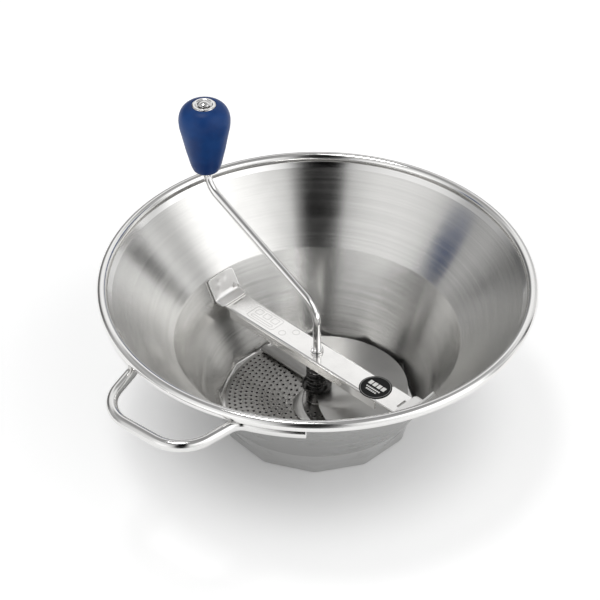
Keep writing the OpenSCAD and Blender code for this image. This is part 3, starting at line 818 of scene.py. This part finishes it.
CUP_Z = 19.3
v, f = lathe(fillet([(3.4, CUP_Z, 0.2), (11, CUP_Z, 0.9), (11, CUP_Z + 3, 0.35), (10, CUP_Z + 3, 0.35), (10, CUP_Z + 1, 0.5), (3.4, CUP_Z + 1, 0.2)], 0.2, 5), 96)
piece("lower_cup", v, f, "lift", [SPRING], ["lower_spring_cup"])


def coil():
    mean, wire, turns = 7.0, 1.0, 8
    s0, s1 = CUP_Z + 1.1 + wire, WASH_Z - 0.1 - wire
    pts = []
    for i in range(turns * 60 + 1):
        a = i * 6.0
        n, q = a / 360, turns - 2
        if n < 1:
            z = s0 + 2 * wire * n
        elif n > turns - 1:
            z = s1 - 2 * wire * (turns - n)
        else:
            z = s0 + 2 * wire + (s1 - s0 - 4 * wire) * (n - 1) / q
        pts.append((mean * math.cos(math.radians(a)), mean * math.sin(math.radians(a)), z))
    # ease the pitch changes
    p = np.array(pts)
    k = np.ones(21) / 21
    z = np.convolve(np.pad(p[:, 2], 10, mode="edge"), k, mode="valid")
    p[:, 2] = z
    v, f = tube(p, 0.95, 14, cap=0.3)
    ob = piece("pressure_coil", v, f, "spring_seat", [SPRING], ["pressure_spring"], weighted=False)
    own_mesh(ob)


coil()


# ---------------------------------------------------------------- cross bar
def cross_bar():
    w, t, top = 21.0, 1.5, BAR_TOP
    half = 91.5
    r_o, r_i = 1.9, 0.5

    def section(x):
        """Closed outline (y, z) with a fixed count of points, for one place along the bar."""
        flange = -66 <= x <= 80
        e = half - abs(x)
        shrink = 0.0
        if e < 3:
            shrink = 3 - math.sqrt(max(0.0, 9 - (3 - e) ** 2))
        hw = w / 2 - shrink
        bot = top - 8.5 if flange else top - t
        zc = top - t
        pts = []
        # outer face from the left lip over the top to the right lip
        if flange:
            outline = [(-hw, bot, 0.35), (-hw, top, r_o), (hw, top, r_o), (hw, bot, 0.35), (hw - t, bot, 0.35), (hw - t, zc, r_i), (-hw + t, zc, r_i), (-hw + t, bot, 0.35)]
        else:
            outline = [(-hw, zc, 0.25), (-hw, top, 1.15), (hw, top, 1.15), (hw, zc, 0.25), (hw - t, zc, 0.0001), (hw - t - 0.3, zc, 0.0001), (-hw + t + 0.3, zc, 0.0001), (-hw + t, zc, 0.0001)]
        return outline

    def rounded(outline):
        out = []
        n = len(outline)
        for i, (y, z, r) in enumerate(outline):
            b = np.array((y, z))
            u, v_ = np.array(outline[i - 1][:2]) - b, np.array(outline[(i + 1) % n][:2]) - b
            lu, lv = np.linalg.norm(u), np.linalg.norm(v_)
            if lu < 1e-6 or lv < 1e-6 or r < 0.001:
                out += [b] * 6
                continue
            u, v_ = u / lu, v_ / lv
            ang = math.acos(max(-1, min(1, float(u @ v_))))
            if ang > math.pi - 0.05:
                out += [b] * 6
                continue
            tt = min(r / math.tan(ang / 2), 0.49 * lu, 0.49 * lv)
            re = tt * math.tan(ang / 2)
            wv = (u + v_) / np.linalg.norm(u + v_)
            c = b + wv * re / math.sin(ang / 2)
            p0, p1 = b + u * tt - c, b + v_ * tt - c
            a0, a1 = math.atan2(p0[1], p0[0]), math.atan2(p1[1], p1[0])
            d = (a1 - a0 + math.pi) % (2 * math.pi) - math.pi
            for k in range(6):
                a = a0 + d * k / 5
                out.append(c + re * np.array([math.cos(a), math.sin(a)]))
        return np.array(out)

    xs = [-half + e for e in (0.0, 0.25, 0.7, 1.3, 2.0, 3.0, 6)] + list(np.linspace(-80, -66.6, 5)) + [-66.0001, -66.0, -65.6] \
        + list(np.linspace(-60, 74, 24)) + [79.6, 80.0, 80.0001, 80.4] + [half - e for e in (6, 3.0, 2.0, 1.3, 0.7, 0.25, 0.0)]
    rings = []
    for x in xs:
        o = rounded(section(x))
        rings.append(np.column_stack([np.full(len(o), x), o]))
    # rounded ends of the plate: the first and last rings are thinner
    for ring in (rings[0], rings[-1]):
        zc = top - t / 2
        ring[:, 2] = zc + (ring[:, 2] - zc) * 0.62
    n = len(rings[0])
    v = np.concatenate(rings)
    f = grid_faces(len(rings), n, False, True)
    f.append(tuple(range(n)))
    f.append(tuple((len(rings) - 1) * n + j for j in range(n))[::-1])
    me = bpy.data.meshes.new("bar_tmp")
    me.from_pydata((rot(v, BAR_AZ) * MM).tolist(), [], [list(q) for q in f])
    bm = bmesh.new()
    bm.from_mesh(me)
    bmesh.ops.remove_doubles(bm, verts=bm.verts, dist=0.00002)
    bmesh.ops.dissolve_degenerate(bm, edges=bm.edges, dist=0.00001)
    bmesh.ops.recalc_face_normals(bm, faces=bm.faces)
    bm.to_mesh(me)
    bm.free()
    bar = bpy.data.objects.new("bar_tmp", me)
    bpy.context.scene.collection.objects.link(bar)
    # cutters: centre hole and the two slots
    cut_v, cut_f = [], []

    def prism(outline, z0, z1):
        n0 = sum(len(x) for x in cut_v)
        k = len(outline)
        lowr = np.column_stack([outline, np.full(k, z0)])
        upr = np.column_stack([outline, np.full(k, z1)])
        cut_v.append(rot(np.concatenate([lowr, upr]), BAR_AZ))
        for j in range(k):
            q = (j + 1) % k
            cut_f.append((n0 + j, n0 + q, n0 + k + q, n0 + k + j))
        cut_f.append(tuple(n0 + j for j in range(k))[::-1])
        cut_f.append(tuple(n0 + k + j for j in range(k)))

    prism(arc((0, 0), 4.5, 0, 360 - 7.5, 48), 40, 60)
    for x in (-82, 82):
        prism(np.array(fillet([(x - 0.9, -4.4), (x + 0.9, -4.4), (x + 0.9, 4.4), (x - 0.9, 4.4)], 0.45, 4)), 40, 60)
    cm = bpy.data.meshes.new("cut_tmp")
    cm.from_pydata((np.concatenate(cut_v) * MM).tolist(), [], [list(q) for q in cut_f])
    cutter = bpy.data.objects.new("cut_tmp", cm)
    bpy.context.scene.collection.objects.link(cutter)
    mod = bar.modifiers.new("cut", "BOOLEAN")
    mod.operation, mod.solver, mod.object = "DIFFERENCE", "EXACT", cutter
    bpy.context.view_layer.update()
    final = bpy.data.meshes.new_from_object(bar.evaluated_get(bpy.context.evaluated_depsgraph_get()))
    vv = np.array([q.co for q in final.vertices]) / MM
    ff = [tuple(p.vertices) for p in final.polygons]
    bpy.data.objects.remove(bar)
    bpy.data.objects.remove(cutter)
    piece("cross_bar_channel", vv, ff, "bar", [BAR], ["cross_bar"], recalc=False, sharp=35)


cross_bar()
v, f = lathe(fillet([(3.06, BAR_TOP - 1.5, 0.3), (4.45, BAR_TOP - 1.5, 0.2), (4.45, BAR_TOP, 0), (5.0, BAR_TOP, 0.05), (5.0, BAR_TOP + 0.8, 0.4), (3.06, BAR_TOP + 0.8, 0.3)], 0.2, 5), 72)
piece("bar_eyelet", v, f, "bar", [ROD], ["bar_bush"])


def badge():
    lo, hi = mm("bar_badge")
    c = (lo + hi) / 2
    r, h = (hi[0] - lo[0]) / 2, hi[2] - lo[2]
    prof = [(0.0, lo[2]), (r - 0.1, lo[2]), (r, lo[2] + 0.1), (r, hi[2] - 0.22), (r - 0.07, hi[2] - 0.07), (r - 0.25, hi[2]), (r - 1.2, hi[2] - 0.02), (r - 1.5, hi[2] - 0.05), (r * 0.5, hi[2] - 0.03), (0.0, hi[2] - 0.03)]
    v, f = lathe(prof, 128, (c[0], c[1]))
    piece("bar_badge_label", v, f, "bar", [BADGE], ["bar_badge"], doubles=0.001)


badge()


# ---------------------------------------------------------------- crank
ARM_R, ARM_Z0, SLOPE, BEND_R = 117.4, 90.9, 23.0, 20.0
TURN = 90 - SLOPE
TAN_L = BEND_R * math.tan(math.radians(TURN / 2))
ARM_Z1 = ARM_Z0 + ARM_R * math.tan(math.radians(SLOPE))
ROD_LO, ROD_HI = mm("crank_rod")


def rod():
    p = [(0, z) for z in np.linspace(2.5, ARM_Z0 - TAN_L, 24)[:-1]]
    p += [tuple(q) for q in arc((BEND_R, ARM_Z0 - TAN_L), BEND_R, 180, 180 - TURN, 30)]
    a, b = np.array(p[-1]), np.array((ARM_R - BEND_R, ARM_Z1 + TAN_L)) + BEND_R * np.array([math.cos(math.radians(-TURN)), math.sin(math.radians(-TURN))])
    p += [tuple(a + (b - a) * k / 12) for k in range(1, 12)]
    p += [tuple(q) for q in arc((ARM_R - BEND_R, ARM_Z1 + TAN_L), BEND_R, -TURN, 0, 30)]
    p += [(ARM_R, z) for z in np.linspace(ARM_Z1 + TAN_L, ROD_HI[2], 12)[1:]]
    p = np.array(p)
    path = np.column_stack([p[:, 0], np.zeros(len(p)), p[:, 1]])
    v, f = tube(path, ROD_R, 40, cap=0.6, up=(0, 1, 0))
    piece("crank_rod_bent", rot(v, CRANK_AZ), f, "crank", [ROD], ["crank_rod"], weighted=False)


rod()
z = BAR_TOP + 1.3
v, f = lathe(fillet([(3.0, z, 0.1), (4.6, z, 0.35), (4.6, z + 1.1, 0.5), (3.7, z + 2.4, 0.4), (3.0, z + 2.4, 0.1)], 0.2, 5), 72)
piece("shaft_ring", v, f, "crank", [ROD], ["shaft_stop_ring"])
v, f = lathe(fillet([(3.0, 8.0, 0.2), (8.0, 8.0, 0.6), (8.0, 19.0, 0.7), (3.0, 19.0, 0.3)], 0.2, 5), 96)
piece("hub_sleeve", v, f, "crank", [DULL], ["blade_hub"])

PRESS_AZ, EDGE_OFF, PRESS_Z, CREST_Z, CREST_R, BLADE_R, BLADE_T, FRONT_AZ = 135.7, 7.8, 7.85, 36.2, 42.0, 67.0, 0.9, -88.0


def plate_z(r, u):
    zh = PRESS_Z + (17 - PRESS_Z) * smooth(u / 0.35)
    zc = PRESS_Z + (CREST_Z - PRESS_Z) * u ** 1.6
    ze = PRESS_Z + (CREST_Z - 4.5 - PRESS_Z) * u ** 1.6
    inner = zh + (zc - zh) * smooth((r - 8) / (CREST_R - 8))
    outer = zc + (ze - zc) * (r - CREST_R) / (BLADE_R - CREST_R)
    return inner if r < CREST_R else outer


def plate_p(r, u):
    a0 = PRESS_AZ - math.degrees(math.asin(min(1, EDGE_OFF / r)))
    fa = FRONT_AZ + (10 * (r - CREST_R) / (BLADE_R - CREST_R) if r > CREST_R else 0)
    a = math.radians(a0 + (fa - a0) * u)
    return (r * math.cos(a), r * math.sin(a), float(plate_z(r, u)))


HEM = np.array([(4.6, 3.1), (3.4, 3.25), (1.9, 3.42), (1.1, 3.28), (0.35, 2.95), (-0.12, 2.4), (-0.34, 1.75), (-0.3, 1.1), (-0.05, 0.55)])


def blade():
    ex, ey = math.cos(math.radians(PRESS_AZ)), math.sin(math.radians(PRESS_AZ))
    rs = list(np.linspace(7.9, CREST_R, 30)) + list(np.linspace(CREST_R, BLADE_R, 22))[1:]
    us = [0.012 + 0.988 * k / 80 for k in range(81)]
    g = []
    for r in rs:
        row = []
        for off, h in HEM:
            s = math.sqrt(max(0, r * r - EDGE_OFF ** 2))
            o = EDGE_OFF + off
            row.append((s * ex + o * ey, s * ey - o * ex, PRESS_Z + h))
        row += [plate_p(r, u) for u in us]
        g.append(row)
    v, f = thick_sheet(g, BLADE_T)
    piece("blade_plate", v, f, "crank", [BLADE], ["blade"], bevel=(0.22, 2, 60))


blade()


def sweeper():
    g = []
    for i in range(49):
        t = i / 48
        a, rb, zt = -172 + 84 * t, 17 + 17 * t ** 1.3, 17.6 - 8.2 * t
        rt = 8.3 + (rb - 8.3) * t
        row = []
        for j in range(9):
            w = j / 8
            r, z_ = rb + (rt - rb) * w, 7.8 + (zt - 7.8) * w + 1.2 * math.sin(math.pi * w) * (1 - t)
            row.append((r * math.cos(math.radians(a)), r * math.sin(math.radians(a)), z_))
        g.append(row)
    v, f = thick_sheet(g, 0.8)
    piece("sweeper_guard", v, f, "crank", [BLADE], ["sweeper_strip"], bevel=(0.2, 2, 60))


sweeper()

# ---------------------------------------------------------------- knob
KNOB_LO, KNOB_HI = mm("knob_grip")
KC = (ARM_R * math.cos(math.radians(CRANK_AZ)), ARM_R * math.sin(math.radians(CRANK_AZ)))
KZ = float(KNOB_LO[2])
KNOB_PTS = [(9.6, 0.5), (10.3, 2), (11.5, 5.5), (12.9, 11.5), (14.4, 17.7), (15.8, 24.7), (17.2, 31.7), (18.3, 37), (18.7, 42), (18.5, 44.8), (17.8, 47.6), (16.4, 50.4), (14, 52.9), (11.2, 54.4)]


def spline(pts, per=5):
    """A smooth line through the points."""
    p = np.array(pts, float)
    out = []
    for i in range(len(p) - 1):
        p0, p1, p2, p3 = p[max(i - 1, 0)], p[i], p[i + 1], p[min(i + 2, len(p) - 1)]
        for k in range(per):
            t = k / per
            out.append(0.5 * ((2 * p1) + (p2 - p0) * t + (2 * p0 - 5 * p1 + 4 * p2 - p3) * t * t + (3 * p1 - p0 - 3 * p2 + p3) * t ** 3))
    out.append(p[-1])
    return [tuple(q) for q in out]


def knob():
    side = spline(KNOB_PTS, 5)
    low = [(4.5, 2.8), (6.2, 2.8), (6.2, 0.25), (6.4, 0.0), (8.4, 0.0), (9.1, 0.15)]
    high = [(9.9, 54.82), (9.0, 55.0), (8.85, 54.93), (8.75, 54.7), (8.7, 54.1), (4.5, 54.0)]
    prof = [(r, z_ + KZ) for r, z_ in low + side + high]
    v, f = lathe(prof, 128, KC)
    piece("knob_handgrip", v, f, "knob", [KNOB], ["knob_grip"], sharp=50, weighted=False)
    z1 = KZ + 54
    v, f = lathe(fillet([(4.0, z1, 0.1), (8.6, z1, 0.1), (8.6, z1 + 1.0, 0.25), (7.8, z1 + 1.6, 0.4), (6.6, z1 + 1.6, 0.5), (5.6, z1 + 1.1, 0.5), (4.0, z1 + 1.1, 0.15)], 0.2, 5), 96, KC)
    piece("knob_cap_ring", v, f, "knob", [ROD], ["knob_end_ring"])
    lo, hi = mm("rod_end_rivet")
    prof = [(0.0, lo[2])] + [(5.0, lo[2])] + [(7.2 * math.sin(math.radians(a)), lo[2] - 5.2 + 7.2 * math.cos(math.radians(a))) for a in np.linspace(43.6, 0, 12)]
    prof = [(max(0.0, r), z_) for r, z_ in prof]
    v, f = lathe(prof, 64, KC)
    piece("rod_rivet_head", v, f, "crank", [ROD], ["rod_end_rivet"], doubles=0.001, sharp=40)


knob()

# carried-over CAD nodes
for node, mat in (("hub_pin", DULL), ("knob_stop_ring", DULL), ("knob_sleeve", DULL)):
    ob = NODES[node]
    ob.data.materials.clear()
    ob.data.materials.append(mat)
    b = ob.modifiers.new("edges", "BEVEL")
    b.width, b.segments, b.limit_method, b.angle_limit = 0.15 * MM, 2, "ANGLE", math.radians(50)

# ---------------------------------------------------------------- floor, light, camera
def stage_mat():
    m = Mat("floor_paper", (0.9, 0.9, 0.9), 0.0, 0.85)
    o, x, y, z_ = m.coords()
    r = m.math("SQRT", m.math("ADD", m.math("MULTIPLY", x, x), m.math("MULTIPLY", y, y)))
    pale = m.mix(m.noise(o, 3.0, 2.0), (0.90, 0.90, 0.90), (0.93, 0.93, 0.93))
    # Painted shade: the floor turns near black within 6.6 cm of the axis, under the bowl, where it is seen only through
    # the sieve's holes.
    m.to("Base Color", m.node("ShaderNodeMix", {"data_type": "RGBA"}, i0=m.ramp(r, 0.058, 0.066, 1.0, 0.0), i6=pale, i7=(0.02, 0.02, 0.02, 1)).outputs[2])
    # Painted light: the floor glows, and the glow fades to nothing between 16 cm and 7 cm from the axis as a painted
    # contact shadow round the bowl.
    m.b.inputs["Emission Color"].default_value = (1, 1, 1, 1)
    m.to("Emission Strength", m.ramp(r, 0.07, 0.16, 0.0, 0.36))
    return m.m


me = bpy.data.meshes.new("floor")
S, N = 14.0, 8
g = [(-S + 2 * S * i / N, -S + 2 * S * j / N, 0.0) for i in range(N + 1) for j in range(N + 1)]
me.from_pydata(g, [], grid_faces(N + 1, N + 1))
me.materials.append(stage_mat())
floor = bpy.data.objects.new("floor", me)
floor.location.z = CAD_BOX[0][2] - 0.0001
bpy.context.scene.collection.objects.link(floor)

cam_data = bpy.data.cameras.new("camera")
cam_data.lens, cam_data.sensor_width = 112.57, 36.0
cam_data.clip_start, cam_data.clip_end = 0.05, 20
cam = bpy.data.objects.new("camera", cam_data)
right, up, fwd = Vector((0.999953, 0.009182, -0.003215)), Vector((-0.003298, 0.630828, 0.775915)), Vector((-0.009153, 0.775868, -0.630829))
M = Matrix((right, up, -fwd)).transposed().to_4x4()
M.translation = Vector((0.0, -1.033335, 0.940339))
cam.matrix_world = M
bpy.context.scene.collection.objects.link(cam)
bpy.context.scene.camera = cam


def area(name, loc, target, size, power, color=(1, 1, 1), shape="RECTANGLE"):
    d = bpy.data.lights.new(name, "AREA")
    d.shape = shape
    d.size, d.size_y = size
    d.energy = power
    d.color = color
    ob = bpy.data.objects.new(name, d)
    ob.location = loc
    ob.rotation_mode = "QUATERNION"
    ob.rotation_quaternion = (Vector(target) - Vector(loc)).to_track_quat("-Z", "Y")
    bpy.context.scene.collection.objects.link(ob)
    return ob


area("key_top", (-0.35, 0.25, 2.4), (0, 0, 0.05), (0.5, 0.5), 9)


# Soft studio surround: brightness by compass direction, one ring low down and one higher up, with a dark gap behind the camera
HIGH = [(-180, .54), (-174, .78), (-166, .92), (-149, 1.02), (-136, .98), (-121, .82), (-111, .6), (-106, .10), (-102, .0), (-90, .0), (-82, .01), (-76, .3), (-70, .95),
        (-59, 1.26), (-45, 1.55), (-25, 1.8), (-8, 1.72), (1, 1.4), (8, .98), (15, .6), (24, .42), (32, .75), (42, .95), (58, 1.0), (90, 1.12), (125, 1.0), (146, .6), (165, .5), (180, .54)]
LOW = [(-180, .4), (-167, .6), (-159, .98), (-142, 1.36), (-125, 1.3), (-111, .86), (-100, .1), (-90, .03), (-83, .2), (-72, .9), (-55, 1.0), (-38, 1.28), (-21, 1.5), (-13, 1.75),
       (-6, 1.1), (2, .46), (10, .8), (18, 1.1), (26, .12), (31, .12), (36, .8), (45, .86), (56, .66), (70, .5), (95, .35), (120, .2), (143, .14), (150, .3), (160, .5), (180, .4)]
TOP = [q for q in HIGH if q[0] <= 8] + [(24, .5), (40, .42), (90, .38), (140, .38), (165, .45), (180, .54)]
DIM = [(-180, .36), (-112, .34), (-103, .0), (-79, .0), (-70, .36), (0, .38), (90, .3), (180, .36)]
world = bpy.data.worlds.new("studio")
bpy.context.scene.world = world
world.use_nodes = True
wt = world.node_tree
bg = next(n for n in wt.nodes if n.type == "BACKGROUND")


def wnode(kind, props=None, *links):
    n = wt.nodes.new(kind)
    for k, v in (props or {}).items():
        setattr(n, k, v)
    for i, v in links:
        if isinstance(v, bpy.types.NodeSocket):
            wt.links.new(v, n.inputs[i])
        else:
            n.inputs[i].default_value = v
    return n


sep = wnode("ShaderNodeSeparateXYZ", None, (0, wnode("ShaderNodeTexCoord").outputs["Generated"]))
turn_fac = wnode("ShaderNodeMath", {"operation": "MULTIPLY_ADD"}, (0, wnode("ShaderNodeMath", {"operation": "ARCTAN2"}, (0, sep.outputs[1]), (1, sep.outputs[0])).outputs[0]), (1, 0.5 / math.pi), (2, 0.5))


def ring_ramp(stops):
    n = wnode("ShaderNodeValToRGB", None, (0, turn_fac.outputs[0]))
    n.color_ramp.interpolation = "LINEAR"
    e = n.color_ramp.elements
    while len(e) > 1:
        e.remove(e[-1])
    for i, (a, v) in enumerate(stops):
        p = (a + 180) / 360
        el = e[0] if i == 0 else e.new(p)
        el.position = p
        el.color = (v, v, v, 1)
    return n.outputs[0]


def by_height(lo, hi, a, b):
    f = wnode("ShaderNodeMapRange", {"interpolation_type": "SMOOTHSTEP"}, (0, sep.outputs[2]), (1, lo), (2, hi), (3, 0.0), (4, 1.0))
    return wnode("ShaderNodeMix", {"data_type": "RGBA"}, (0, f.outputs[0]), (6, a), (7, b)).outputs[2]


sky = by_height(0.36, 0.60, ring_ramp(LOW), ring_ramp(HIGH))
sky = by_height(0.67, 0.75, sky, ring_ramp(TOP))
sky = by_height(0.80, 0.90, sky, ring_ramp(DIM))
wt.links.new(sky, bg.inputs["Color"])
bg.inputs["Strength"].default_value = 1.0

bpy.context.scene.view_settings.view_transform = "Standard"
bpy.context.scene.view_settings.look = "None"

bpy.context.view_layer.update()
